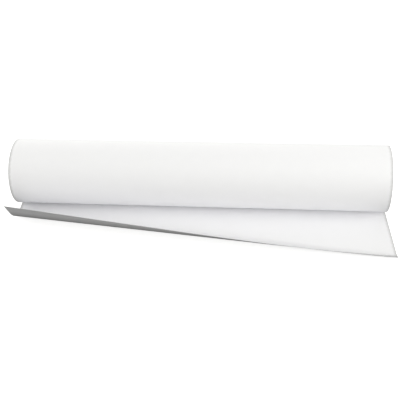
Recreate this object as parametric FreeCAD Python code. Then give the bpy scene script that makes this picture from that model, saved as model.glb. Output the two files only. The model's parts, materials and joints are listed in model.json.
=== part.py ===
import FreeCAD, Part
import math
import os

# Backdrop paper roll: white seamless paper wound on a spiral-wound paperboard core, lying on a
# flat surface. The free end leaves the bottom of the roll towards -Y, lies flat, and lifts in a
# curl along a slanting line, so that its left front corner stands highest.
# Origin: centre of the core's bore. +X runs along the roll, +Z is up. Sizes are in millimetres.

# ---- Driving dimensions ----
PAPER_WIDTH = 660.0          # width of the paper web, along the roll
ROLL_RADIUS = 58.2           # outside of the last turn
SHEET_THICKNESS = 0.2        # one layer of paper

BORE_RADIUS = 28.5           # inside of the core, where a crossbar goes
CORE_OVERHANG = 1.0          # how far the core stands out of the paper at each end
LINER_PLY = 0.4              # innermost, smooth ply of the core
BODY_PLY = 0.55              # each of the plies that give the core its strength
BODY_PLY_COUNT = 3
FACE_PLY = 0.4               # outermost ply of the core

TAPE_WIDTH = 24.0            # strips that hold the first edge of the web to the core
TAPE_ARC = 40.0              # length of a strip, measured round the core
TAPE_THICKNESS = 0.1
TAPE_SPACING = 220.0
TAPE_COUNT = 3
TAPE_POCKET = 0.05           # air between a strip and the turns wound over it

FOOT_HALF_WIDTH = 6.0        # half the width that the roll's own weight presses flat
HEEL_REACH = 12.0            # how far the last turn runs forward under the roll
CREASE_GAP = 0.7             # where the front of the last turn ends, this far above the sheet
TURNING_GAP = 0.3            # air between the turning roll and the last turn
SHEET_GAP = 0.3              # air between neighbouring lengths of the free end

TAIL_LENGTH = 146.5          # free end, from the contact line to its front edge
CURL_DEPTH_LEFT = 100.1      # front edge back to the start of the curl, at the left edge
CURL_DEPTH_RIGHT = 17.1      # the same at the right edge
CURL_RADIUS = 35.7           # bending radius where the curl starts
CURL_RUN = 69.1              # length over which the bend fades to a straight ramp
SIDE_LEAN = 0.0486           # how far the side edges drift to +X per mm forward
CORNER_CLIP = 0.4            # flat across the tip of the raised corner

# ---- Values that follow from them ----
FLOOR_Z = -math.sqrt(ROLL_RADIUS ** 2 - FOOT_HALF_WIDTH ** 2)
PACK_RADIUS = -FLOOR_Z - SHEET_THICKNESS - TURNING_GAP
CORE_RADIUS = BORE_RADIUS + LINER_PLY + BODY_PLY_COUNT * BODY_PLY + FACE_PLY
CORE_LENGTH = PAPER_WIDTH + 2 * CORE_OVERHANG
CURL_SLANT = math.atan2(CURL_DEPTH_LEFT - CURL_DEPTH_RIGHT, PAPER_WIDTH)
CORNER_FOLD = CURL_DEPTH_RIGHT * math.cos(CURL_SLANT)    # runs out at the right front corner
CURL_END = CURL_DEPTH_LEFT * math.cos(CURL_SLANT)

X_AXIS = FreeCAD.Vector(1, 0, 0)
CURVE_POINTS = 17            # points that each curled edge is drawn through
SIMPSON_STEPS = 60           # steps of the curl's integration, even


def save(node, shape):
    """Write one named sub-part."""
    os.makedirs("parts", exist_ok=True)
    if not shape.isValid():
        raise ValueError(node + " is not a valid shape")
    shape.exportStep("parts/" + node + ".step")


def tube(inner, outer, length):
    """A tube along X, centred on the origin."""
    start = FreeCAD.Vector(-length / 2, 0, 0)
    wall = Part.makeCylinder(outer, length, start, X_AXIS)
    return wall.cut(Part.makeCylinder(inner, length, start, X_AXIS))


def arc(radius, centre_z, from_deg, to_deg):
    """An arc in the YZ plane about (0, centre_z); angles run from +Y towards +Z."""
    def at(deg):
        angle = math.radians(deg)
        return FreeCAD.Vector(0, radius * math.cos(angle), centre_z + radius * math.sin(angle))
    return Part.Arc(at(from_deg), at((from_deg + to_deg) / 2), at(to_deg)).toShape()


def end_point(edge, last):
    """The first or last point of an edge."""
    return edge.valueAt(edge.LastParameter if last else edge.FirstParameter)


def along_x(edges, centre_x, length):
    """A solid from a closed outline in the YZ plane, drawn out along X about centre_x."""
    section = Part.Face(Part.Wire(edges))
    section.translate(FreeCAD.Vector(centre_x - length / 2, 0, 0))
    return section.extrude(FreeCAD.Vector(length, 0, 0))


def tube_sector(inner, outer, length, centre_x, half_deg):
    """A piece of tube wall at the top of the tube, half_deg to each side."""
    outside = arc(outer, 0, 90 - half_deg, 90 + half_deg)
    inside = arc(inner, 0, 90 + half_deg, 90 - half_deg)
    edges = [outside, Part.makeLine(end_point(outside, True), end_point(inside, False)),
             inside, Part.makeLine(end_point(inside, True), end_point(outside, False))]
    return along_x(edges, centre_x, length)


# ---- Core ----
def core_plies():
    """The plies of the core, inside to outside, as (node, inner radius, outer radius)."""
    plies = [("core_liner_ply", LINER_PLY)]
    plies += [("core_body_ply_%d" % (i + 1), BODY_PLY) for i in range(BODY_PLY_COUNT)]
    plies += [("core_face_ply", FACE_PLY)]
    radius = BORE_RADIUS
    for node, thickness in plies:
        yield node, radius, radius + thickness
        radius += thickness


def tape_places():
    """Where each strip of tape sits along the core."""
    first = -TAPE_SPACING * (TAPE_COUNT - 1) / 2
    return [first + i * TAPE_SPACING for i in range(TAPE_COUNT)]


def core_tape():
    """Strips of tape on the core, over the first edge of the web."""
    half_deg = math.degrees(TAPE_ARC / CORE_RADIUS) / 2
    strips = [tube_sector(CORE_RADIUS, CORE_RADIUS + TAPE_THICKNESS, TAPE_WIDTH, x, half_deg)
              for x in tape_places()]
    return Part.makeCompound(strips)


# ---- Wound paper ----
def wound_paper():
    """All the turns but the last, as one tube with a pocket over each strip of tape."""
    pack = tube(CORE_RADIUS, PACK_RADIUS, PAPER_WIDTH)
    half_deg = math.degrees((TAPE_ARC / 2 + TAPE_POCKET) / CORE_RADIUS)
    for x in tape_places():
        pack = pack.cut(tube_sector(CORE_RADIUS, CORE_RADIUS + TAPE_THICKNESS + TAPE_POCKET,
                                    TAPE_WIDTH + 2 * TAPE_POCKET, x, half_deg))
    return pack


def outer_turn():
    """The last turn: a heel flat on the floor, up the back, over the top and down the front.
    It ends in the crease, CREASE_GAP above the sheet.

    The front half is drawn one half thickness smaller about a centre that much higher, so the
    turn drops by its own thickness and would pass over the sheet that leaves under it.
    """
    t = SHEET_THICKNESS
    drop = t / 2
    front = ROLL_RADIUS - drop
    foot_deg = -math.degrees(math.acos(FOOT_HALF_WIDTH / ROLL_RADIUS))
    foot_inner_deg = -math.degrees(math.asin((-FLOOR_Z - t) / (ROLL_RADIUS - t)))
    crease_height = drop - FLOOR_Z - t - CREASE_GAP
    end_deg = 180.0 + math.degrees(math.asin(crease_height / front))
    outer_back = arc(ROLL_RADIUS, 0, foot_deg, 90)
    outer_front = arc(front, drop, 90, end_deg)
    inner_front = arc(front - t, drop, end_deg, 90)
    inner_back = arc(ROLL_RADIUS - t, 0, 90, foot_inner_deg)

    heel_top = FreeCAD.Vector(0, -HEEL_REACH, FLOOR_Z + t)
    heel_under = FreeCAD.Vector(0, -HEEL_REACH, FLOOR_Z)
    edges = [
        outer_back,
        outer_front,
        Part.makeLine(end_point(outer_front, True), end_point(inner_front, False)),
        inner_front,
        inner_back,
        Part.makeLine(end_point(inner_back, True), heel_top),
        Part.makeLine(heel_top, heel_under),
        Part.makeLine(heel_under, end_point(outer_back, False)),
    ]
    return along_x(edges, 0.0, PAPER_WIDTH)


# ---- Free end ----
def curl_angle(along):
    """Slope of the curl at a distance from its start: the integral of a curvature that falls
    in a straight line from 1 / CURL_RADIUS to nothing over CURL_RUN."""
    bent = min(along, CURL_RUN)
    return bent / CURL_RADIUS - bent * bent / (2 * CURL_RADIUS * CURL_RUN)


def fold_at(slope):
    """The distance from the curl's start at which it reaches a slope."""
    return CURL_RUN * (1 - math.sqrt(1 - slope / curl_angle(CURL_RUN)))


def curl_section(along):
    """Forward reach and height of the curl at a distance from its start (Simpson's rule)."""
    if along <= 0:
        return along, 0.0
    step = along / SIMPSON_STEPS
    reach = height = 0.0
    for i in range(SIMPSON_STEPS + 1):
        weight = 1 if i in (0, SIMPSON_STEPS) else 4 if i % 2 else 2
        reach += weight * math.cos(curl_angle(i * step))
        height += weight * math.sin(curl_angle(i * step))
    return reach * step / 3, height * step / 3


def sheet_point(across, along, lift):
    """A point of the free end. across is 0 at the left edge and 1 at the right, along is the
    distance from the curl's start line, and lift is the height above the underside."""
    depth = CURL_DEPTH_LEFT + across * (CURL_DEPTH_RIGHT - CURL_DEPTH_LEFT)
    reach, height = curl_section(along)
    slope = curl_angle(max(along, 0.0))
    shortening = reach - lift * math.sin(slope) - along
    forward = TAIL_LENGTH - depth + along / math.cos(CURL_SLANT) + shortening * math.cos(CURL_SLANT)
    sideways = (across - 0.5) * PAPER_WIDTH - shortening * math.sin(CURL_SLANT)
    sideways += SIDE_LEAN * (forward - HEEL_REACH)
    return FreeCAD.Vector(sideways, -forward, FLOOR_Z + height + lift * math.cos(slope))


def across_left(along):
    """The left edge of the sheet."""
    return 0.0


def across_right(along):
    """The right edge of the sheet, then its front edge once that is reached."""
    left_over = CURL_DEPTH_LEFT - along / math.cos(CURL_SLANT)
    return min(1.0, left_over / (CURL_DEPTH_LEFT - CURL_DEPTH_RIGHT))


def edge_curve(across, first, last, lift):
    """A side or front edge of one length of the curl."""
    places = [first + (last - first) * i / (CURVE_POINTS - 1) for i in range(CURVE_POINTS)]
    curve = Part.BSplineCurve()
    curve.interpolate(Points=[sheet_point(across(a), a, lift) for a in places], Parameters=places)
    return curve.toShape()


def curl_strip(first, last):
    """One length of the curl between two fold lines: two ruled skins and four edges."""
    t = SHEET_THICKNESS
    under_left = edge_curve(across_left, first, last, 0.0)
    under_right = edge_curve(across_right, first, last, 0.0)
    over_left = edge_curve(across_left, first, last, t)
    over_right = edge_curve(across_right, first, last, t)
    faces = [
        Part.makeRuledSurface(under_left, under_right),
        Part.makeRuledSurface(over_left, over_right),
        Part.makeRuledSurface(under_left, over_left),
        Part.makeRuledSurface(under_right, over_right),
    ]
    for a in (first, last):
        corners = [sheet_point(across_left(a), a, 0.0), sheet_point(across_right(a), a, 0.0),
                   sheet_point(across_right(a), a, t), sheet_point(across_left(a), a, t)]
        faces.append(Part.Face(Part.makePolygon(corners + corners[:1])))
    shell = Part.makeShell(faces)
    shell.sewShape()
    strip = Part.makeSolid(shell)
    if strip.Volume < 0:
        strip.reverse()
    return strip


def fold_lines():
    """Distances from the curl's start to its fold lines, then to its far end. The corner fold
    divides the bend in two, and each part is halved again."""
    corner_slope = curl_angle(CORNER_FOLD)
    end_slope = curl_angle(CURL_RUN)
    return [0.0, fold_at(corner_slope / 2), CORNER_FOLD, fold_at((corner_slope + end_slope) / 2),
            CURL_END - CORNER_CLIP + SHEET_GAP / 2]


def tail_sheet():
    """The flat length of the free end, from the heel to the start of the curl."""
    half = PAPER_WIDTH / 2
    back = -(HEEL_REACH + SHEET_GAP)
    lean = SIDE_LEAN * SHEET_GAP
    corners = [
        FreeCAD.Vector(-half + lean, back, FLOOR_Z),
        FreeCAD.Vector(half + lean, back, FLOOR_Z),
        sheet_point(1.0, -SHEET_GAP / 2, 0.0),
        sheet_point(0.0, -SHEET_GAP / 2, 0.0),
    ]
    outline = Part.Face(Part.makePolygon(corners + corners[:1]))
    return outline.extrude(FreeCAD.Vector(0, 0, SHEET_THICKNESS))


def build():
    """Make and save every sub-part."""
    for node, inner, outer in core_plies():
        save(node, tube(inner, outer, CORE_LENGTH))
    save("core_tape", core_tape())
    save("wound_paper", wound_paper())
    save("outer_turn", outer_turn())
    save("tail_sheet", tail_sheet())
    folds = fold_lines()
    for i in range(len(folds) - 1):
        strip = curl_strip(folds[i] + SHEET_GAP / 2, folds[i + 1] - SHEET_GAP / 2)
        save("tail_curl_%d" % (i + 1), strip)


build()
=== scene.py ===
"""Looks of a backdrop paper roll: white seamless paper wound on a spiral-wound board core.

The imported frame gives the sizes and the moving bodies. This add-on makes the surfaces that show:
the last turn, the free end with its curl, the wound turns with their layered ends and the plies
of the core, then a pale studio floor, soft lights and a camera. Lengths are in metres.
"""

import json
import math

import bpy
import numpy as np
from bpy.props import FloatProperty, FloatVectorProperty, IntProperty, PointerProperty
from mathutils import Matrix, Vector


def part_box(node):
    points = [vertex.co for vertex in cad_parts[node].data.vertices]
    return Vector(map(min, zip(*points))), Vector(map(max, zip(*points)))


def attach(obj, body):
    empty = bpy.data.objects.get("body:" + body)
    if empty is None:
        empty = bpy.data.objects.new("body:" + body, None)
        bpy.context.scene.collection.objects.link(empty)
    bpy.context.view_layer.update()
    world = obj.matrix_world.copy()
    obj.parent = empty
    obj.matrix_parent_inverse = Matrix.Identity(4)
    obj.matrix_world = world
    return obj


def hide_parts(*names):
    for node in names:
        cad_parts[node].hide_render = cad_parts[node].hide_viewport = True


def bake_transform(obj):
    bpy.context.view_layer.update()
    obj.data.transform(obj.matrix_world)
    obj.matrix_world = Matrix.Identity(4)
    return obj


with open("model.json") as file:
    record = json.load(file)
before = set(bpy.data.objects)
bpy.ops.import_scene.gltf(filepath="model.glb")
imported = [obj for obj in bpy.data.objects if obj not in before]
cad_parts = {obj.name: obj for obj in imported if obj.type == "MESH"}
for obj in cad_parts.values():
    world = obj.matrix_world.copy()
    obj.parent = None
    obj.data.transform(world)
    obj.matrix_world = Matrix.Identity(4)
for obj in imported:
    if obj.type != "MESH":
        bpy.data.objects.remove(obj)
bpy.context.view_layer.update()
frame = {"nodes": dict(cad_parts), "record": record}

bl_info = {
    "name": "Backdrop Paper Roll",
    "version": (1, 0, 0),
    "blender": (4, 5, 0),
    "location": "View3D > Sidebar > Paper Roll",
    "description": "Makes a roll of seamless backdrop paper round its packed frame",
    "category": "Object",
}

# Sizes read from the frame
TURN_LOW, TURN_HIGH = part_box("outer_turn")
FLAT_LOW, FLAT_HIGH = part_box("tail_sheet")
HALF_WIDTH = TURN_HIGH.x
PAPER_WIDTH = 2 * HALF_WIDTH
ROLL_RADIUS = TURN_HIGH.z
FLOOR_Z = TURN_LOW.z
SHEET = FLAT_HIGH.z - FLAT_LOW.z
PACK_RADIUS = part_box("wound_paper")[1].z
HEEL_REACH = -FLAT_HIGH.y
CORE_MOUNT = next(m for m in frame["record"]["mounts"] if m["name"] == "core_bore")
BORE_RADIUS = CORE_MOUNT["dims"]["r_mm"] / 1000
CORE_HALF = CORE_MOUNT["dims"]["length_mm"] / 2000
PLY_NODES = ("core_liner_ply", "core_body_ply_1", "core_body_ply_2", "core_body_ply_3",
             "core_face_ply")
CORE_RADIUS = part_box(PLY_NODES[-1])[1].z

# Places and margins that the frame doesn't hold
SEAM_BACK = HEEL_REACH - 0.0035    # contact line forward to where the free end begins
CREASE_RISE = 0.0007               # the last turn's front edge stands this far above the sheet
FLOOR_DROP = 0.0006                # the floor lies this far below the roll's lowest point
RIPPLE_START = 0.02                # the free end is even as far forward as this
RIPPLE_RUN = 0.03                  # and its ripple grows to its full height over this length
FLAT_END = -0.0075                 # the flat length ends here, square from the curl's start line
CURL_SEAMS = (0.0030, 0.0131)      # ends of the curl's first two lengths, measured alike
CURL_TIP = 0.0001                  # and its last length stops this short of the raised corner
FOLD_SHARE = 0.95                  # share of the way from a fold to a seam, for the two points square to the fold


# ---- Settings that a user would change ----
class PaperSettings(bpy.types.PropertyGroup):
    """The paper web: its colours and how its free end curls."""

    face: FloatVectorProperty(
        name="Paper", description="Colour of the paper's face", subtype="COLOR",
        default=(0.885, 0.886, 0.912), min=0, max=1)
    # Painted shade: this grey is laid along the side edges of every sheet, the ends of the roll among
    # them, and stands in for the shade on their rounded edges.
    edge: FloatVectorProperty(
        name="Cut edge", description="Painted shade along the cut edges",
        subtype="COLOR", default=(0.42, 0.42, 0.425), min=0, max=1)
    edge_shade_reach: FloatProperty(
        name="Edge reach", description="How far from a cut edge the painted shade reaches",
        default=0.005, min=0, unit="LENGTH")
    # Painted shadow: this grey band along the front edge of the sheet's face stands in for the shadow
    # under the raised edge.
    front_edge_shadow: FloatVectorProperty(
        name="Front edge", description="Painted shadow along the front edge",
        subtype="COLOR", default=(0.22, 0.22, 0.225), min=0, max=1)
    front_shadow_reach: FloatProperty(
        name="Front reach", description="How far from the front edge the painted shadow reaches",
        default=0.010, min=0, unit="LENGTH")
    # Painted shade: the underside is darkened from where it lies on the floor partway up the curl,
    # standing in for the shade under the curl.
    underside_shade: FloatVectorProperty(
        name="Underside shade", description="Painted shade on the underside, from the floor partway up the curl",
        subtype="COLOR", default=(0.37, 0.37, 0.375), min=0, max=1)
    shade_start: FloatProperty(
        name="Shade start", description="Distance past the curl's start where the painted shade thins",
        default=0.02, min=0, unit="LENGTH")
    shade_end: FloatProperty(
        name="Shade end", description="Distance past the curl's start where the painted shade ends",
        default=0.072, min=0, unit="LENGTH")
    curl_radius: FloatProperty(
        name="Curl radius", description="Bending radius where the curl starts",
        default=0.0357, min=0.005, unit="LENGTH")
    curl_run: FloatProperty(
        name="Curl run", description="Length over which the bend fades to a straight ramp",
        default=0.0691, min=0.01, unit="LENGTH")
    curl_depth_left: FloatProperty(
        name="Left depth", description="Front edge back to the curl's start, at the left edge",
        default=0.1001, min=0.01, unit="LENGTH")
    curl_depth_right: FloatProperty(
        name="Right depth", description="Front edge back to the curl's start, at the right edge",
        default=0.0171, min=0.005, unit="LENGTH")
    tail_length: FloatProperty(
        name="Free end", description="Contact line to the front edge, along the sheet",
        default=0.1465, min=0.05, unit="LENGTH")
    unevenness: FloatProperty(
        name="Unevenness", description="Height of the faint waves in the sheet",
        default=0.0002, min=0, unit="LENGTH")
    side_lean: FloatProperty(
        name="Side lean", description="Drift of the side edges to +X for each metre forward",
        default=0.0486)


class CoreSettings(bpy.types.PropertyGroup):
    """The board core: its colours and the pitch of its winding."""

    board: FloatVectorProperty(
        name="Board", description="Colour of the kraft board", subtype="COLOR",
        default=(0.53, 0.375, 0.235), min=0, max=1)
    board_dark: FloatVectorProperty(
        name="Dark fibre", description="Colour of the board's dark fibres", subtype="COLOR",
        default=(0.30, 0.20, 0.115), min=0, max=1)
    pitch: FloatProperty(
        name="Ply pitch", description="How far one turn of a ply moves along the core",
        default=0.12, min=0.02, unit="LENGTH")
    seam: FloatProperty(
        name="Seam gap", description="Gap between the edges of a wound ply",
        default=0.0007, min=0.0001, unit="LENGTH")
    tape: FloatVectorProperty(
        name="Tape", description="Colour of the tape that starts the web", subtype="COLOR",
        default=(0.72, 0.58, 0.32), min=0, max=1)


class StageSettings(bpy.types.PropertyGroup):
    """The studio: floor, light and lens."""

    floor: FloatVectorProperty(
        name="Floor", description="Colour of the floor", subtype="COLOR",
        default=(0.50, 0.50, 0.50), min=0, max=1)
    glow: FloatProperty(
        name="Floor glow", description="Light added to the floor that the camera sees, which "
        "keeps the shadows on it faint", default=0.78, min=0)
    bounce: FloatProperty(
        name="Floor bounce", description="Share of the floor's colour in the light it throws",
        default=0.34, min=0, max=1)
    front: FloatProperty(
        name="Front light", description="Power of the soft box in front, in watts",
        default=15.0, min=0)
    left: FloatProperty(
        name="Left light", description="Power of the soft box at the left, in watts",
        default=8.0, min=0)
    right: FloatProperty(
        name="Right light", description="Power of the soft box at the right, in watts",
        default=7.0, min=0)
    back: FloatProperty(
        name="Back light", description="Power of the soft box behind, in watts",
        default=20.0, min=0)
    fill: FloatProperty(
        name="Sky light", description="Strength of the light from all round", default=0.58, min=0)
    shade: FloatVectorProperty(
        name="Sky", description="Colour of the light from all round", subtype="COLOR",
        default=(1.0, 0.998, 0.965), min=0, max=1)
    lens: FloatProperty(
        name="Lens", description="Focal length in millimetres", default=63.34, min=10)
    turns: IntProperty(
        name="Roundness", description="Segments round the roll", default=360, min=64)


# ---- Meshes ----
def quads_between(rows, columns):
    """Corner numbers of the quads of a grid whose point (i, j) is number i * columns + j."""
    i = np.arange(rows - 1)[:, None]
    j = np.arange(columns - 1)[None, :]
    near = i * columns + j
    far = near + columns
    return np.stack([near, near + 1, far + 1, far], axis=-1).reshape(-1, 4)


def new_piece(name, points, quads, material, flat=None, under=None):
    """An object at the origin from an (N, 3) array and an (M, 4) array, shaded smooth except at
    corners. flat gives each point's place on the uncurled sheet, kept as the UV map of that name.
    under is (material, count) for the first quads, which are the underside's."""
    mesh = bpy.data.meshes.new(name)
    mesh.from_pydata(points.tolist(), [], quads.tolist())
    mesh.polygons.foreach_set("use_smooth", np.ones(len(quads), dtype=bool))
    mesh.set_sharp_from_angle(angle=math.radians(40))
    if flat is not None:
        corner = np.empty(len(mesh.loops), dtype=np.int32)
        mesh.loops.foreach_get("vertex_index", corner)
        layer = mesh.uv_layers.new(name="flat")
        layer.data.foreach_set("uv", flat[corner].astype(np.float32).ravel())
    mesh.materials.append(material)
    if under is not None:
        mesh.materials.append(under[0])
        below = np.arange(len(quads)) < under[1]
        mesh.polygons.foreach_set("material_index", below.astype(np.int32))
    mesh.update()
    piece = bpy.data.objects.new(name, mesh)
    bpy.context.scene.collection.objects.link(piece)
    return piece


def two_sided(under, over, flat):
    """Points, quads and flat places of a closed thin sheet. under and over are (R, C, 3) grids of
    its two faces; their four borders are joined by rims."""
    rows, columns = under.shape[:2]
    count = rows * columns
    skin = quads_between(rows, columns)
    row, column = np.arange(rows), np.arange(columns)
    border = np.concatenate([
        column,
        row[1:] * columns + columns - 1,
        (rows - 1) * columns + column[-2::-1],
        row[-2:0:-1] * columns,
    ])
    after = np.roll(border, -1)
    rim = np.stack([border, after, after + count, border + count], axis=-1)
    points = np.concatenate([under.reshape(-1, 3), over.reshape(-1, 3)])
    quads = np.concatenate([skin[:, ::-1], skin + count, rim])
    return points, quads, np.concatenate([flat.reshape(-1, 2)] * 2)


def spread(count, dense=0.004):
    """Places from 0 to 1, evenly spaced but for a few close to each end."""
    near = np.array([0.0, 0.06, 0.16, 0.32, 0.58]) * dense
    inner = np.linspace(dense, 1 - dense, count - 2 * len(near))
    return np.concatenate([near, inner, 1 - near[::-1]])


# ---- The free end of the sheet ----
def curl_tables(paper):
    """Slope, reach and height of the curl against the distance from its start line.
    The curvature falls in a straight line from 1 / radius to 0 over the run, so the slope is
    a / radius - a * a / (2 * radius * run), then constant; reach and height are the running
    integrals of its cosine and sine."""
    along = np.linspace(0.0, paper.curl_depth_left * 1.05, 4001)
    bent = np.minimum(along, paper.curl_run)
    slope = bent / paper.curl_radius - bent**2 / (2 * paper.curl_radius * paper.curl_run)
    step = along[1] - along[0]

    def running(values):
        return np.concatenate([[0.0], np.cumsum((values[1:] + values[:-1]) / 2) * step])

    return along, slope, running(np.cos(slope)), running(np.sin(slope))


def curl_slant(paper):
    """The angle between the curl's start line and the roll."""
    return math.atan2(paper.curl_depth_left - paper.curl_depth_right, PAPER_WIDTH)


def ripple(width_place, length_place):
    """Faint unevenness of the sheet, 0 to 1: waves along and across it, of three lengths."""
    x, y = width_place, length_place
    wave = (np.sin(x * 21.0 + 3.0 * np.sin(y * 9.0) + 0.7) * np.cos(y * 13.0 + x * 4.0)
            + 0.6 * np.sin(x * 47.0 + y * 17.0 + 2.1) * np.cos(y * 31.0 - x * 6.0 + 1.3)
            + 0.35 * np.sin(x * 83.0 - y * 38.0 + 4.4))
    return 0.5 + wave / 3.9


def sheet_points(paper, across, along, lift):
    """Points of the free end. across runs from 0 at the left edge to 1 at the right, along is the
    distance from the slanting start line (below 0 on the flat part), lift the height above the
    underside. The curl shortens the sheet square to the start line, and the sheared sides drift
    to +X with the forward distance."""
    table, slopes, reaches, heights = curl_tables(paper)
    slant = curl_slant(paper)
    past = np.maximum(along, 0.0)
    slope = np.interp(past, table, slopes)
    reach = np.interp(past, table, reaches) + np.minimum(along, 0.0)
    height = np.interp(past, table, heights)
    depth = paper.curl_depth_left + across * (paper.curl_depth_right - paper.curl_depth_left)
    from_front = depth - along / math.cos(slant)
    settled = np.clip((paper.tail_length - from_front - RIPPLE_START) / RIPPLE_RUN, 0, 1)
    lift = lift + paper.unevenness * settled * ripple(across * PAPER_WIDTH, from_front)
    shortening = reach - lift * np.sin(slope) - along
    flat_forward = paper.tail_length - depth + along / math.cos(slant)
    forward = flat_forward + shortening * math.cos(slant)
    sideways = ((across - 0.5) * PAPER_WIDTH - shortening * math.sin(slant)
                + paper.side_lean * np.maximum(forward - HEEL_REACH, 0.0))
    return np.stack([sideways, -forward, FLOOR_Z + height + lift * np.cos(slope)], axis=-1)


def flat_places(paper, across, along):
    """Where a point lies on the uncurled sheet: metres from the left edge, and metres from the
    front edge."""
    depth = paper.curl_depth_left + across * (paper.curl_depth_right - paper.curl_depth_left)
    return np.stack([across * PAPER_WIDTH, depth - along / math.cos(curl_slant(paper))], axis=-1)


def across_limit(paper, along):
    """The right end of a line at that distance: the right edge, or the front edge once the line
    meets it."""
    left_over = paper.curl_depth_left - along / math.cos(curl_slant(paper))
    return np.minimum(1.0, left_over / (paper.curl_depth_left - paper.curl_depth_right))


def curl_folds(paper):
    """Distances of the four fold lines and the far end. The line that runs out at the right front
    corner divides the bend in two, and each part is halved again."""
    table, slopes, _, _ = curl_tables(paper)
    slant = curl_slant(paper)
    corner = paper.curl_depth_right * math.cos(slant)
    run = min(paper.curl_run, table[-1])
    corner_slope = float(np.interp(corner, table, slopes))
    end_slope = float(np.interp(run, table, slopes))

    def at(slope):
        return paper.curl_run * (1 - math.sqrt(1 - slope / end_slope))

    end = paper.curl_depth_left * math.cos(slant)
    return [0.0, at(corner_slope / 2), corner, at((corner_slope + end_slope) / 2), end]


def free_end_length(paper, name, stations, material):
    """One length of the free end, between the first and last of its distances."""
    along = np.asarray(stations)[:, None]
    across = spread(190)[None, :] * across_limit(paper, along)
    along = np.broadcast_to(along, across.shape)
    under = sheet_points(paper, across, along, 0.0)
    over = sheet_points(paper, across, along, SHEET)
    points, quads, flat = two_sided(under, over, flat_places(paper, across, along))
    skin = (along.shape[0] - 1) * (along.shape[1] - 1)
    return new_piece(name, points, quads, material, flat, (paper_material(paper, True), skin))


def square_to_fold(paper, fold, reach):
    """Two points one reach before and after the middle of a fold line. The step between them
    loses its part along the fold line, so it is square to the line over the whole width."""
    ends = sheet_points(paper, np.array([0.0, 1.0]), np.array([fold, fold]), 0.0)
    line = (ends[1] - ends[0]) / np.linalg.norm(ends[1] - ends[0])
    near, middle, far = sheet_points(paper, np.full(3, 0.5),
                                     np.array([fold - reach, fold, fold + reach]), 0.0)
    step = (far - near) / 2
    step = step - line * (step @ line)
    return middle - step, middle + step


# ---- Shader helpers ----
class Nodes:
    """Short calls for building one node tree."""

    def __init__(self, tree):
        self.tree = tree

    def add(self, kind, values=None, **settings):
        """A node of that kind, with settings on it and values on its input sockets."""
        node = self.tree.nodes.new(kind)
        for key, value in settings.items():
            setattr(node, key, value)
        for key, value in (values or {}).items():
            node.inputs[key].default_value = value
        return node

    def link(self, source, target):
        """Joins an output socket to an input socket."""
        self.tree.links.new(source, target)

    def math(self, operation, first, second=None, clamp=False):
        """A Math node of sockets or numbers; returns its output."""
        node = self.add("ShaderNodeMath", operation=operation, use_clamp=clamp)
        for place, value in enumerate((first, second)):
            if value is None:
                continue
            if isinstance(value, (int, float)):
                node.inputs[place].default_value = value
            else:
                self.link(value, node.inputs[place])
        return node.outputs[0]

    def noise(self, vector, scale, detail=2.0, roughness=0.5):
        """The value of a noise pattern."""
        node = self.add("ShaderNodeTexNoise",
                        {"Scale": scale, "Detail": detail, "Roughness": roughness})
        self.link(vector, node.inputs["Vector"])
        return node.outputs["Fac"]

    def ramp(self, value, low, high):
        """A value spread from low to high onto 0 to 1, clamped."""
        node = self.add("ShaderNodeMapRange", {"From Min": low, "From Max": high}, clamp=True)
        self.link(value, node.inputs["Value"])
        return node.outputs["Result"]


def new_group(name, inputs, outputs):
    """A shader node group with named sockets. inputs are (name, type, default)."""
    group = bpy.data.node_groups.new(name, "ShaderNodeTree")
    for socket, kind, default in inputs:
        made = group.interface.new_socket(socket, in_out="INPUT", socket_type=kind)
        if default is not None:
            made.default_value = default
    for socket in outputs:
        group.interface.new_socket(socket, in_out="OUTPUT", socket_type="NodeSocketFloat")
    nodes = Nodes(group)
    return group, nodes, nodes.add("NodeGroupInput"), nodes.add("NodeGroupOutput")


def paper_grain_group():
    """Fibre grain and cloudy formation of uncoated paper."""
    group, n, given, out = new_group(
        "Paper grain",
        [("Vector", "NodeSocketVector", None), ("Fibres per metre", "NodeSocketFloat", 900.0)],
        ["Tone", "Height"])
    stretch = n.add("ShaderNodeMapping", {"Scale": (0.35, 1.0, 1.0)})
    n.link(given.outputs["Vector"], stretch.inputs["Vector"])
    fibre = n.add("ShaderNodeTexNoise", {"Detail": 5.0, "Roughness": 0.62})
    n.link(stretch.outputs["Vector"], fibre.inputs["Vector"])
    n.link(given.outputs["Fibres per metre"], fibre.inputs["Scale"])
    cloud = n.noise(given.outputs["Vector"], 55.0, 3.0, 0.55)
    pits = n.noise(given.outputs["Vector"], 2600.0, 2.0, 0.5)
    fine = n.math("ADD", n.math("MULTIPLY", fibre.outputs["Fac"], 0.7), n.math("MULTIPLY", pits, 0.3))
    tone = n.math("ADD", n.math("MULTIPLY", cloud, 0.55), n.math("MULTIPLY", fine, 0.45))
    n.link(n.ramp(tone, 0.32, 0.68), out.inputs["Tone"])
    n.link(fine, out.inputs["Height"])
    return group


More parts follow.
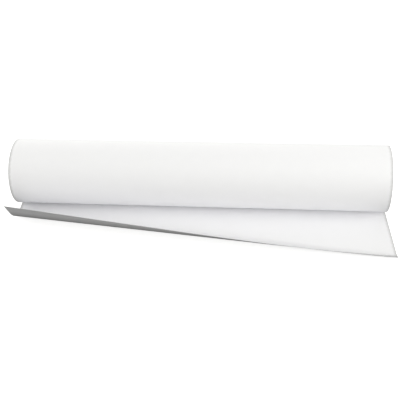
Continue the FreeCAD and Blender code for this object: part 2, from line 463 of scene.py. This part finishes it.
def sheet_edge_shade_group():
    """Masks of the painted shade along the cut edges of a sheet, from its flat UV map in metres: 1 at
    an edge, falling to 0 at the reach, with a ragged border. The front edge has its own reach."""
    group, n, given, out = new_group(
        "Sheet edge shade",
        [("Flat", "NodeSocketVector", None), ("Width", "NodeSocketFloat", 0.66),
         ("Reach", "NodeSocketFloat", 0.001), ("Front reach", "NodeSocketFloat", 0.001)],
        ["Sides", "Front"])
    apart = n.add("ShaderNodeSeparateXYZ")
    n.link(given.outputs["Flat"], apart.inputs[0])
    right = n.math("SUBTRACT", given.outputs["Width"], apart.outputs["X"])
    ragged = n.math("ADD", n.noise(given.outputs["Flat"], 180.0, 3.0), 0.5)
    for output, reach, distance in (
            ("Sides", "Reach", n.math("MINIMUM", apart.outputs["X"], right)),
            ("Front", "Front reach", apart.outputs["Y"])):
        share = n.math("DIVIDE", distance, n.math("MULTIPLY", given.outputs[reach], ragged), clamp=True)
        soft = n.math("SUBTRACT", 1.0, n.math("POWER", share, 1.6))
        thin = n.math("LESS_THAN", share, 0.2)
        mask = n.math("ADD", n.math("MULTIPLY", soft, 0.5), n.math("MULTIPLY", thin, 0.3), clamp=True)
        n.link(mask, out.inputs[output])
    return group


def underside_shade_group():
    """A mask of painted shade on the underside of the free end: 1 where it lies on the floor, falling
    to 0 up the curl. The distance past the slanting start line is a sum of the flat places."""
    group, n, given, out = new_group(
        "Underside shade",
        [("Flat", "NodeSocketVector", None), ("Left depth", "NodeSocketFloat", 0.1),
         ("Slant", "NodeSocketFloat", -0.126), ("Start", "NodeSocketFloat", 0.03),
         ("End", "NodeSocketFloat", 0.09)],
        ["Mask"])
    apart = n.add("ShaderNodeSeparateXYZ")
    n.link(given.outputs["Flat"], apart.inputs[0])
    sideways = n.math("MULTIPLY", apart.outputs["X"], given.outputs["Slant"])
    depth = n.math("ADD", given.outputs["Left depth"], sideways)
    past = n.math("SUBTRACT", depth, apart.outputs["Y"])
    cloud = n.noise(given.outputs["Flat"], 60.0, 4.0, 0.6)
    past = n.math("ADD", past, n.math("MULTIPLY", n.math("SUBTRACT", cloud, 0.5), 0.02))
    reach = n.math("SUBTRACT", given.outputs["End"], given.outputs["Start"])
    share = n.math("DIVIDE", n.math("SUBTRACT", past, given.outputs["Start"]), reach, clamp=True)
    n.link(n.math("SUBTRACT", 1.0, share), out.inputs["Mask"])
    return group


def layer_group():
    """Edges of paper wound round the X axis, seen end on. Each layer's number is the spiral
    phase, radius / thickness less the angle in turns; its fraction marks the gap between layers,
    and noise on its whole part gives each layer its own tone."""
    group, n, given, out = new_group(
        "Wound layers",
        [("Vector", "NodeSocketVector", None), ("Thickness", "NodeSocketFloat", 0.0002)],
        ["Gap", "Tone", "Height"])
    apart = n.add("ShaderNodeSeparateXYZ")
    n.link(given.outputs["Vector"], apart.inputs[0])
    square = n.math("ADD", n.math("POWER", apart.outputs["Y"], 2.0),
                    n.math("POWER", apart.outputs["Z"], 2.0))
    radius = n.math("SQRT", square)
    turn = n.math("DIVIDE", n.math("ARCTAN2", apart.outputs["Z"], apart.outputs["Y"]), 2 * math.pi)
    phase = n.math("SUBTRACT", n.math("DIVIDE", radius, given.outputs["Thickness"]), turn)
    fraction = n.math("FRACT", phase)
    gap = n.math("MULTIPLY", n.math("ABSOLUTE", n.math("SUBTRACT", fraction, 0.5)), 2.0)
    gap = n.ramp(gap, 0.55, 0.98)
    number = n.add("ShaderNodeCombineXYZ")
    n.link(n.math("FLOOR", phase), number.inputs["X"])
    own = n.noise(number.outputs[0], 0.37, 3.0, 0.8)
    n.link(gap, out.inputs["Gap"])
    n.link(n.ramp(own, 0.3, 0.7), out.inputs["Tone"])
    n.link(n.math("SUBTRACT", own, gap), out.inputs["Height"])
    return group


def board_fibre_group():
    """Flecks and long fibres of kraft board."""
    group, n, given, out = new_group(
        "Board fibre",
        [("Vector", "NodeSocketVector", None), ("Fibres per metre", "NodeSocketFloat", 420.0)],
        ["Fleck", "Height"])
    stretch = n.add("ShaderNodeMapping", {"Scale": (0.25, 1.0, 1.0)})
    n.link(given.outputs["Vector"], stretch.inputs["Vector"])
    fibre = n.add("ShaderNodeTexNoise", {"Detail": 6.0, "Roughness": 0.7})
    n.link(stretch.outputs["Vector"], fibre.inputs["Vector"])
    n.link(given.outputs["Fibres per metre"], fibre.inputs["Scale"])
    patch = n.noise(given.outputs["Vector"], 40.0, 3.0, 0.5)
    mixed = n.math("ADD", n.math("MULTIPLY", fibre.outputs["Fac"], 0.65),
                   n.math("MULTIPLY", patch, 0.35))
    n.link(n.ramp(mixed, 0.35, 0.65), out.inputs["Fleck"])
    n.link(fibre.outputs["Fac"], out.inputs["Height"])
    return group


def shared_group(name, make):
    """The group of that name, made on first use."""
    return bpy.data.node_groups.get(name) or make()


def place_group(nodes, group, values=None):
    """A group node in a tree."""
    node = nodes.add("ShaderNodeGroup", node_tree=group)
    for key, value in (values or {}).items():
        node.inputs[key].default_value = value
    return node


def new_material(name, roughness, specular):
    """A material with a Principled shader; returns it, its nodes and the shader."""
    material = bpy.data.materials.new(name)
    material.use_nodes = True
    material.node_tree.nodes.clear()
    nodes = Nodes(material.node_tree)
    shader = nodes.add("ShaderNodeBsdfPrincipled",
                       {"Roughness": roughness, "Specular IOR Level": specular})
    output = nodes.add("ShaderNodeOutputMaterial")
    nodes.link(shader.outputs[0], output.inputs["Surface"])
    return material, nodes, shader


def mixed_colour(nodes, mask, first, second):
    """A colour between two, by a mask. The two are colours or sockets; returns the socket."""
    node = nodes.add("ShaderNodeMix", data_type="RGBA")
    nodes.link(mask, node.inputs["Factor"])
    for socket, value in ((node.inputs[6], first), (node.inputs[7], second)):
        if isinstance(value, bpy.types.NodeSocket):
            nodes.link(value, socket)
        else:
            socket.default_value = (*value, 1.0)
    return node.outputs[2]


def scaled(colour, share):
    """A colour made darker or lighter."""
    return tuple(min(1.0, part * share) for part in colour)


def bump(nodes, shader, height, strength, distance):
    """Feeds a height to the shader's normal."""
    node = nodes.add("ShaderNodeBump", {"Strength": strength, "Distance": distance})
    nodes.link(height, node.inputs["Height"])
    nodes.link(node.outputs[0], shader.inputs["Normal"])


# ---- Materials ----
def paper_material(paper, shaded_underside=False):
    """Matte white paper: fibre grain that follows the sheet, painted shade along the cut edges and a
    painted shadow along the front edge. With shaded_underside set it is for the underside of the free
    end, and the edge marks give way to painted shade from where the sheet lies on the floor partway up
    the curl."""
    name = "backdrop paper shaded underside" if shaded_underside else "backdrop paper face"
    made = bpy.data.materials.get(name)
    if made:
        return made
    material, n, shader = new_material(name, 0.82, 0.25)
    flat = n.add("ShaderNodeUVMap", uv_map="flat")
    grain = place_group(n, shared_group("Paper grain", paper_grain_group))
    n.link(flat.outputs[0], grain.inputs["Vector"])
    face = mixed_colour(n, grain.outputs["Tone"], scaled(paper.face, 0.985), paper.face)
    if shaded_underside:
        # painted shade: the underside darkens from where it lies on the floor partway up the curl
        underside_shade = place_group(n, shared_group("Underside shade", underside_shade_group), {
            "Left depth": paper.curl_depth_left,
            "Slant": (paper.curl_depth_right - paper.curl_depth_left) / PAPER_WIDTH,
            "Start": paper.shade_start, "End": paper.shade_end})
        n.link(flat.outputs[0], underside_shade.inputs["Flat"])
        colour = mixed_colour(n, underside_shade.outputs["Mask"], face, paper.underside_shade)
    else:
        edges = place_group(n, shared_group("Sheet edge shade", sheet_edge_shade_group),
                            {"Width": PAPER_WIDTH, "Reach": paper.edge_shade_reach,
                             "Front reach": paper.front_shadow_reach})
        n.link(flat.outputs[0], edges.inputs["Flat"])
        # painted shade along the side edges, then a painted shadow along the front edge
        sides = mixed_colour(n, edges.outputs["Sides"], face, paper.edge)
        colour = mixed_colour(n, edges.outputs["Front"], sides, paper.front_edge_shadow)
    n.link(colour, shader.inputs["Base Color"])
    bump(n, shader, grain.outputs["Height"], 0.25, 0.0001)
    return material


def layers_material(paper):
    """The wound turns: layer edges on the ends, plain paper on the outside."""
    material, n, shader = new_material("wound paper layers", 0.88, 0.2)
    place = n.add("ShaderNodeTexCoord")
    layers = place_group(n, shared_group("Wound layers", layer_group), {"Thickness": SHEET * 2.5})
    grain = place_group(n, shared_group("Paper grain", paper_grain_group))
    n.link(place.outputs["Object"], layers.inputs["Vector"])
    n.link(place.outputs["Object"], grain.inputs["Vector"])
    tone = mixed_colour(n, layers.outputs["Tone"], scaled(paper.face, 0.84), scaled(paper.face, 0.98))
    lined = mixed_colour(n, n.math("MULTIPLY", layers.outputs["Gap"], 0.4), tone,
                         scaled(paper.face, 0.55))
    n.link(lined, shader.inputs["Base Color"])
    height = n.math("ADD", layers.outputs["Height"], n.math("MULTIPLY", grain.outputs["Height"], 0.5))
    bump(n, shader, height, 0.5, 0.0002)
    return material


def board_material(core, name, tint):
    """Kraft board with fibres and flecks, tinted for each kind of ply."""
    material, n, shader = new_material(name, 0.86, 0.2)
    place = n.add("ShaderNodeTexCoord")
    fibre = place_group(n, shared_group("Board fibre", board_fibre_group))
    n.link(place.outputs["Object"], fibre.inputs["Vector"])
    colour = mixed_colour(n, fibre.outputs["Fleck"], scaled(core.board_dark, tint),
                          scaled(core.board, tint))
    n.link(colour, shader.inputs["Base Color"])
    bump(n, shader, fibre.outputs["Height"], 0.45, 0.0003)
    return material


def tape_material(core):
    """Crepe masking tape: fine ridges across its length."""
    material, n, shader = new_material("masking tape", 0.55, 0.4)
    place = n.add("ShaderNodeTexCoord")
    fibre = place_group(n, shared_group("Board fibre", board_fibre_group), {"Fibres per metre": 900.0})
    n.link(place.outputs["Object"], fibre.inputs["Vector"])
    colour = mixed_colour(n, fibre.outputs["Fleck"], scaled(core.tape, 0.8), core.tape)
    n.link(colour, shader.inputs["Base Color"])
    bump(n, shader, fibre.outputs["Height"], 0.5, 0.0003)
    return material


# ---- Operators: one for each piece or group of like pieces ----
class MakeLastTurn(bpy.types.Operator):
    """Makes the last turn of the web, from the crease round to the heel under the roll"""

    bl_idname = "paper_roll.last_turn"
    bl_label = "Last turn"

    def execute(self, context):
        """The profile is a front arc half a thickness smaller and higher than the back arc, then
        the foot, flat on the floor; it is carried along the roll. The two ends of the roll are
        pressed in a little, more at the very edge."""
        paper, stage = context.scene.roll_paper, context.scene.roll_stage
        drop = SHEET / 2
        front = ROLL_RADIUS - drop
        foot = math.sqrt(ROLL_RADIUS**2 - FLOOR_Z**2)
        crease = math.asin((drop - FLOOR_Z - SHEET - CREASE_RISE) / front)
        share = np.linspace(0.0, 1.0, stage.turns // 2)
        front_angle = math.pi + crease - share * (math.pi / 2 + crease)
        back_angle = math.pi / 2 - share[1:] * (math.pi / 2 + math.acos(foot / ROLL_RADIUS))
        y = np.concatenate([front * np.cos(front_angle), ROLL_RADIUS * np.cos(back_angle)])
        z = np.concatenate([drop + front * np.sin(front_angle), ROLL_RADIUS * np.sin(back_angle)])
        normal_y = np.concatenate([np.cos(front_angle), np.cos(back_angle)])
        normal_z = np.concatenate([np.sin(front_angle), np.sin(back_angle)])
        foot_y = np.linspace(foot, -SEAM_BACK, 12)[1:]
        y = np.concatenate([y, foot_y])
        z = np.concatenate([z, np.full(len(foot_y), FLOOR_Z)])
        normal_y = np.concatenate([normal_y, np.zeros(len(foot_y))])
        normal_z = np.concatenate([normal_z, -np.ones(len(foot_y))])
        rounded = np.concatenate([np.ones(2 * len(share) - 1), np.zeros(len(foot_y))])

        across = spread(64, 0.006)[None, :]
        x = (across - 0.5) * PAPER_WIDTH
        from_end = HALF_WIDTH - np.abs(x)
        press_depth, press_fade = 0.00032, 0.0012
        pressed = press_depth * np.exp(-from_end / press_fade) * rounded[:, None]
        y, z, normal_y, normal_z = (v[:, None] for v in (y, z, normal_y, normal_z))

        length = np.concatenate([[0.0], np.cumsum(np.hypot(np.diff(y[:, 0]), np.diff(z[:, 0])))])
        from_front = paper.tail_length + length[-1] - length[:, None]
        share_round = length[:, None] / length[-1]
        # the waves fade out towards both ends of the roll, the crease and the heel
        waves = ripple(x + HALF_WIDTH, from_front) * np.clip((from_end - 0.002) / 0.02, 0, 1)
        calm = np.clip((share_round - 0.04) / 0.1, 0, 1) * np.clip((0.93 - share_round) / 0.1, 0, 1)
        raised = paper.unevenness * 0.7 * waves * calm

        def skin(depth):
            inward = pressed + depth - raised
            return np.stack([x + 0 * y, y - inward * normal_y, z - inward * normal_z], axis=-1)

        flat = np.stack([across * PAPER_WIDTH + 0 * y, from_front + 0 * x], axis=-1)
        points, quads, flat = two_sided(skin(SHEET), skin(0.0), flat)
        piece = new_piece("last_turn_sheet", points, quads, paper_material(paper), flat)
        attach(piece, "last_turn")
        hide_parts("outer_turn")
        return {"FINISHED"}


class MakeFreeEnd(bpy.types.Operator):
    """Makes the free end: its flat length, and the four lengths of its curl"""

    bl_idname = "paper_roll.free_end"
    bl_label = "Free end"

    def execute(self, context):
        """Each length ends between two fold lines and curves smoothly across the one fold inside it."""
        paper = context.scene.roll_paper
        material = paper_material(paper)
        folds = curl_folds(paper)
        ends = [FLAT_END, *CURL_SEAMS, (folds[2] + folds[3]) / 2, folds[-1] - CURL_TIP]
        self.make_flat(paper, material)
        stations = [np.linspace(ends[0], ends[1], 24), np.linspace(ends[1], ends[2], 24),
                    np.concatenate([np.linspace(ends[2], folds[2], 14),
                                    np.linspace(folds[2], ends[3], 22)[1:]]),
                    np.linspace(ends[3], ends[4], 130)]
        for i, places in enumerate(stations):
            name = "free_end_curl_%d" % (i + 1)
            piece = free_end_length(paper, name, places, material)
            reach = FOLD_SHARE * min(folds[i] - places[0], places[-1] - folds[i])
            start, end = square_to_fold(paper, folds[i], reach)
            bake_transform(piece)
            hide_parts("tail_curl_%d" % (i + 1))
        return {"FINISHED"}

    def make_flat(self, paper, material):
        """The flat length, from under the heel to just short of the curl."""
        across = spread(190)[None, :]
        depth = paper.curl_depth_left + across * (paper.curl_depth_right - paper.curl_depth_left)
        slant = curl_slant(paper)
        start = (SEAM_BACK - paper.tail_length + depth) * math.cos(slant)
        share = np.linspace(0.0, 1.0, 60)[:, None]
        along = start + (FLAT_END - start) * share
        across = np.broadcast_to(across, along.shape)
        under = sheet_points(paper, across, along, 0.0)
        over = sheet_points(paper, across, along, SHEET)
        points, quads, flat = two_sided(under, over, flat_places(paper, across, along))
        piece = new_piece("free_end_flat", points, quads, material, flat)
        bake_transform(piece)
        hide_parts("tail_sheet")


class MakeWoundTurns(bpy.types.Operator):
    """Makes the wound turns, with the edges of the layers standing unevenly at both ends"""

    bl_idname = "paper_roll.wound_turns"
    bl_label = "Wound turns"

    def execute(self, context):
        """A closed profile is turned round the roll's axis: the wall over the core, one end, the
        outside, the other end. Each end's depth is a sum of waves in the spiral phase (radius
        less its share of a turn), so bands of layers stand proud or sunk along a spiral."""
        paper, stage = context.scene.roll_paper, context.scene.roll_stage
        radii = np.linspace(CORE_RADIUS, PACK_RADIUS, 130)
        angle = np.arange(stage.turns) * 2 * math.pi / stage.turns
        band = 0.0021           # width of one band of layers
        swelling = 7.3          # bands over which their depth swells and fades
        uneven = 0.00016        # mean depth of the bands
        rounding = 0.0009       # width of the rounded outer edge
        sunk = 0.0006           # and its depth

        def end_depth(radius, turn, seed):
            rng = np.random.default_rng(seed)
            phase = radius / band - turn / (2 * math.pi)
            depth = 0.0
            for step in (1.0, 2.0, 3.0, 5.0):
                wave = rng.uniform(0.6, 1.0) * step
                offset = rng.uniform(0, 2 * math.pi)
                # over one turn the phase falls by one, so whole steps close on themselves
                spin = np.cos(2 * math.pi * step * phase + offset)
                swell = np.cos(2 * math.pi * radius / band / swelling * wave + offset)
                depth = depth + spin * swell / step
            edge = np.clip((radius - (PACK_RADIUS - rounding)) / rounding, 0, 1)
            return uneven * (1 + depth / 2) + sunk * edge**2

        turn = angle[:, None]
        left = -HALF_WIDTH + end_depth(radii[None, :], turn, 11)
        right = HALF_WIDTH - end_depth(radii[None, ::-1], turn, 12)
        x = np.concatenate([left, right], axis=1)
        radius = np.broadcast_to(np.concatenate([radii, radii[::-1]]), x.shape)
        points = np.stack([x, radius * np.cos(turn), radius * np.sin(turn)], axis=-1)
        rows, columns = points.shape[:2]
        number = np.arange(rows * columns).reshape(rows, columns)
        beside = np.roll(number, -1, axis=1)
        ahead = np.roll(number, -1, axis=0)
        across = np.roll(beside, -1, axis=0)
        quads = np.stack([number, beside, across, ahead], axis=-1).reshape(-1, 4)
        piece = new_piece("wound_turns", points.reshape(-1, 3), quads, layers_material(paper))
        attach(piece, "roll")
        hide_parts("wound_paper")
        return {"FINISHED"}


class MakeCore(bpy.types.Operator):
    """Makes the plies of the core, wound in slanting turns with open butt seams"""

    bl_idname = "paper_roll.core"
    bl_label = "Core"

    def execute(self, context):
        """Each ply is a C-shaped wall, from one side of its seam round to the other, carried
        along the core while it turns by one turn for each pitch."""
        core = context.scene.roll_core
        inner = BORE_RADIUS
        for i, node in enumerate(PLY_NODES):
            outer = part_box(node)[1].z
            first, last = i == 0, i == len(PLY_NODES) - 1
            tint = 1.08 if first else 1.0 if last else 0.86 + 0.06 * (i % 2)
            material = board_material(core, node.replace("_", " "), tint)
            piece = self.ply(core, "spiral_" + node, inner, outer, i, material)
            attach(piece, "roll")
            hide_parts(node)
            inner = outer
        tape = tape_material(core)
        for place in frame["nodes"]["core_tape"].material_slots:
            place.link = "OBJECT"
            place.material = tape
        return {"FINISHED"}

    def ply(self, core, name, inner, outer, number, material):
        """One ply. Its section is a closed outline: inside, seam wall, outside, seam wall."""
        steps_along, steps_round = 250, 60
        stagger = 1.9           # radians from one ply's seam to the next one's
        soft = 0.00012          # width of the bevel at the cut ends
        x = np.linspace(-CORE_HALF, CORE_HALF, steps_along)[:, None]
        gap = core.seam / inner / 2
        around = np.linspace(gap, 2 * math.pi - gap, steps_round)[None, :]
        twist = 2 * math.pi * x / core.pitch + number * stagger
        from_end = CORE_HALF - np.abs(x)
        ease = soft * np.clip(1 - from_end / soft, 0, 1)
        angle = around + twist
        wall_in = np.stack([x + 0 * angle, (inner + ease) * np.cos(angle),
                            (inner + ease) * np.sin(angle)], axis=-1)
        wall_out = np.stack([x + 0 * angle, (outer - ease) * np.cos(angle),
                             (outer - ease) * np.sin(angle)], axis=-1)
        points, quads, _ = two_sided(wall_in, wall_out, np.zeros((*angle.shape, 2)))
        return new_piece(name, points, quads, material)


class MakeStage(bpy.types.Operator):
    """Makes the pale floor, the soft lights and the camera"""

    bl_idname = "paper_roll.stage"
    bl_label = "Studio"

    def execute(self, context):
        """The floor lies under the roll; the camera looks down on it from the front."""
        scene, stage = context.scene, context.scene.roll_stage
        self.floor(stage)
        self.sky(scene, stage)
        self.soft_box(scene, "front_light", stage.front, 0.9, (0.75, -1.55, 1.0))
        self.soft_box(scene, "left_light", stage.left, 0.9, (-1.7, -0.35, 0.9))
        self.soft_box(scene, "right_light", stage.right, 0.9, (1.7, -0.35, 0.9))
        self.soft_box(scene, "back_light", stage.back, 1.2, (-0.3, 1.8, 0.6))
        self.camera(scene, stage)
        scene.view_settings.view_transform = "Standard"
        return {"FINISHED"}

    def floor(self, stage):
        """A large square, white where the camera sees it and dimmer in the light it throws."""
        side = 6.0              # half the length of the square's side
        corners = np.array([[-side, -side], [side, -side], [side, side], [-side, side]])
        points = np.column_stack([corners, np.full(4, FLOOR_Z - FLOOR_DROP)])
        material, n, shader = new_material("studio floor", 0.9, 0.0)
        seen = n.add("ShaderNodeLightPath")
        seen_colour = mixed_colour(n, seen.outputs["Is Camera Ray"],
                                   scaled(stage.floor, stage.bounce), stage.floor)
        n.link(seen_colour, shader.inputs["Base Color"])
        glow = mixed_colour(n, seen.outputs["Is Camera Ray"], (0.0, 0.0, 0.0), (1.0, 1.0, 1.0))
        n.link(glow, shader.inputs["Emission Color"])
        shader.inputs["Emission Strength"].default_value = stage.glow
        piece = new_piece("studio_floor", points, np.array([[0, 1, 2, 3]]), material)

    def sky(self, scene, stage):
        """Even light from all round, white behind the floor."""
        world = bpy.data.worlds.new("studio")
        world.use_nodes = True
        n = Nodes(world.node_tree)
        background = world.node_tree.nodes["Background"]
        seen = n.add("ShaderNodeLightPath")
        strength = n.add("ShaderNodeMix", data_type="FLOAT")
        strength.inputs["A"].default_value = stage.fill
        strength.inputs["B"].default_value = 1.0
        n.link(seen.outputs["Is Camera Ray"], strength.inputs["Factor"])
        n.link(strength.outputs["Result"], background.inputs["Strength"])
        sky = mixed_colour(n, seen.outputs["Is Camera Ray"], stage.shade, (1.0, 1.0, 1.0))
        n.link(sky, background.inputs["Color"])
        scene.world = world

    def soft_box(self, scene, name, power, size, place):
        """A square soft box that faces the middle of the roll."""
        light = bpy.data.lights.new(name, "AREA")
        light.shape, light.size, light.energy = "SQUARE", size, power
        light.color = (1.0, 0.995, 0.95)
        box = bpy.data.objects.new(name, light)
        box.location = place
        box.rotation_euler = Vector(place).to_track_quat("Z", "Y").to_euler()
        scene.collection.objects.link(box)

    def camera(self, scene, stage):
        """The lens's place and the angles it is turned by: aside, down and about its own line."""
        aside, down, tilt = math.radians(-6.578), math.radians(36.721), math.radians(-2.469)
        ahead = Vector((math.sin(aside) * math.cos(down), math.cos(aside) * math.cos(down),
                        -math.sin(down)))
        level = Vector((math.cos(aside), -math.sin(aside), 0))
        above = level.cross(ahead)
        right = math.cos(tilt) * level + math.sin(tilt) * above
        up = math.cos(tilt) * above - math.sin(tilt) * level
        turned = Matrix((right, up, -ahead)).transposed().to_4x4()
        lens = bpy.data.cameras.new("studio_camera")
        lens.lens, lens.sensor_width = stage.lens, 36.0
        lens.clip_start, lens.clip_end = 0.05, 50.0
        camera = bpy.data.objects.new("studio_camera", lens)
        place = (0.11841, -1.02928, 0.71581)
        camera.matrix_world = Matrix.Translation(place) @ turned
        scene.collection.objects.link(camera)
        scene.camera = camera


class PaperRollPanel(bpy.types.Panel):
    """Lists the settings and the pieces of the roll"""

    bl_idname = "VIEW3D_PT_paper_roll"
    bl_label = "Paper Roll"
    bl_space_type = "VIEW_3D"
    bl_region_type = "UI"
    bl_category = "Paper Roll"

    def draw(self, context):
        """One button for each piece, under the settings."""
        for name, group in SETTINGS.items():
            for prop in group.__annotations__:
                self.layout.prop(getattr(context.scene, name), prop)
        for operator in OPERATORS:
            self.layout.operator(operator.bl_idname)


SETTINGS = {"roll_paper": PaperSettings, "roll_core": CoreSettings, "roll_stage": StageSettings}
OPERATORS = (MakeCore, MakeWoundTurns, MakeLastTurn, MakeFreeEnd, MakeStage)
CLASSES = (*SETTINGS.values(), *OPERATORS, PaperRollPanel)


def register():
    """Adds the classes and the scene's settings."""
    for cls in CLASSES:
        bpy.utils.register_class(cls)
    for name, group in SETTINGS.items():
        setattr(bpy.types.Scene, name, PointerProperty(type=group))


def unregister():
    """Takes them away again."""
    for name in SETTINGS:
        delattr(bpy.types.Scene, name)
    for cls in reversed(CLASSES):
        bpy.utils.unregister_class(cls)


def main():
    """Makes every piece."""
    register()
    bpy.ops.paper_roll.core()
    bpy.ops.paper_roll.wound_turns()
    bpy.ops.paper_roll.last_turn()
    bpy.ops.paper_roll.free_end()
    bpy.ops.paper_roll.stage()


if __name__ == "__main__":
    main()
